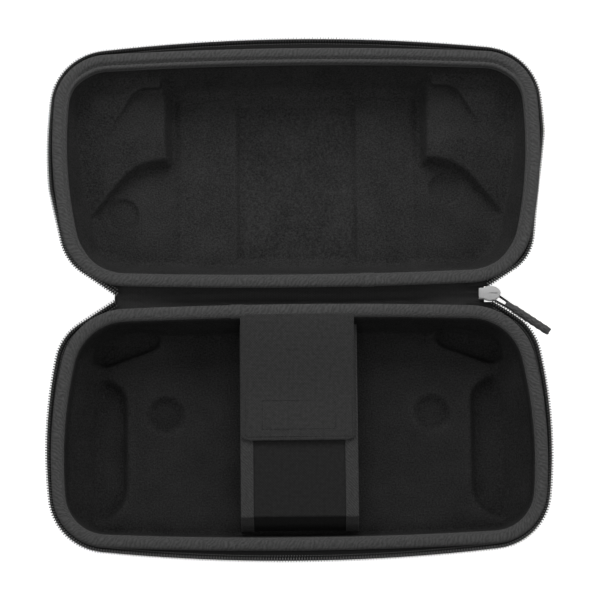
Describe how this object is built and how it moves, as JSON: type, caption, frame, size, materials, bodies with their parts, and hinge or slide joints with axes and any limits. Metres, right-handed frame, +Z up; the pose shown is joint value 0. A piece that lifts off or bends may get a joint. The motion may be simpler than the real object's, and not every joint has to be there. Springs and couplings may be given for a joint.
{
  "type": "portable game console case",
  "caption": "Moulded zip case for a handheld console, opened flat: lid with raised pads, base with grip hollows and a flap pouch, cloth hinge, zip slider and pull.",
  "frame": {"origin": "on the table under the middle of the hinge, at the bottom centre of the opened case", "axes": "+X along the hinge towards the zip slider, +Y from the hinge towards the lid, +Z up"},
  "size_m": [0.3147, 0.334, 0.0412],
  "materials": {
    "shell": "matt",
    "lining": "napped",
    "binding": "ribbed",
    "zip_tape": "woven",
    "zip_coil": "satin",
    "pouch_cloth": "woven",
    "flap_cloth": "woven",
    "fastener": "looped",
    "hinge_cloth": "woven",
    "slider_metal": "satin",
    "pull_cord": "braided",
    "pull_rubber": "matt"
  },
  "bodies": {
    "base": {"base_shell": "shell", "base_tray": "lining", "base_binding": "binding", "base_zip_tape": "zip_tape", "base_zip_coil": "zip_coil", "pouch_gusset": "pouch_cloth", "pouch_panel": "pouch_cloth", "pouch_edge_left": "binding", "pouch_edge_right": "binding", "panel_loop_patch": "fastener", "flap_hook_patch": "fastener", "pouch_flap": "flap_cloth", "hinge_strip": "hinge_cloth", "slider_body": "slider_metal", "slider_bail": "slider_metal"},
    "lid": {"lid_shell": "shell", "lid_tray": "lining", "lid_binding": "binding", "lid_zip_tape": "zip_tape", "lid_zip_coil": "zip_coil"},
    "pull": {"pull_loop": "pull_cord", "pull_grip": "pull_rubber"}
  },
  "joints": [
    {"name": "lid_hinge", "type": "hinge", "parent": "base", "child": "lid", "pos_m": [0, 0, 0.04015], "axis": [1, 0, 0], "range_deg": [0, 180], "deforming": ["hinge_strip"]},
    {"name": "pull_swing", "type": "hinge", "parent": "base", "child": "pull", "pos_m": [0.121, 0, 0.0332], "axis": [0, 0, 1], "range_deg": [0, 56]}
  ]
}
